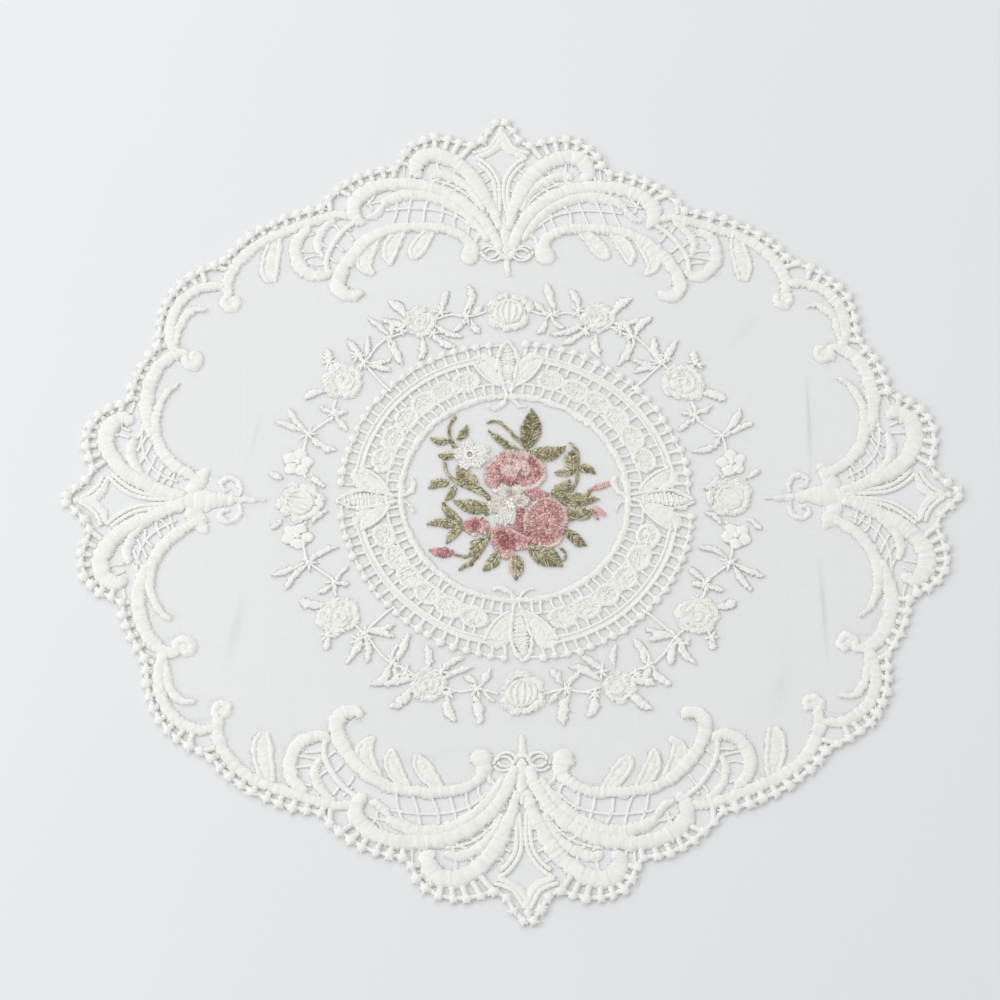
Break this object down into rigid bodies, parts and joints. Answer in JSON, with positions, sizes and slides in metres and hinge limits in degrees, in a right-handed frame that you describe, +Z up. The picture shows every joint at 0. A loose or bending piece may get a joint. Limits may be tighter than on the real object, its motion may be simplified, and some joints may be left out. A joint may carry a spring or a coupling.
{
  "type": "lace doily",
  "caption": "Round lace doily: a sheer woven panel embroidered with a ring, a wreath and a bouquet, inside a scrolled openwork lace border with a picot edge.",
  "frame": {"origin": "the middle of the underside, on the surface that the doily lies on", "axes": "+Z up, out of the right side of the cloth; +Y to the back fan, one of the two fans with a spread of leaves; +X to the right fan, one of the two narrow side fans"},
  "size_m": [0.35, 0.35, 0.0018],
  "materials": {
    "lace thread": "satin stitch in white rayon thread",
    "sheer cloth": "sheer plain weave, bluish white",
    "rose thread": "satin stitch in dusty pink thread",
    "leaf thread": "satin stitch in olive green thread"
  },
  "bodies": {
    "root": {"lace_border": "lace thread", "sheer_panel": "sheer cloth"}
  },
  "joints": []
}
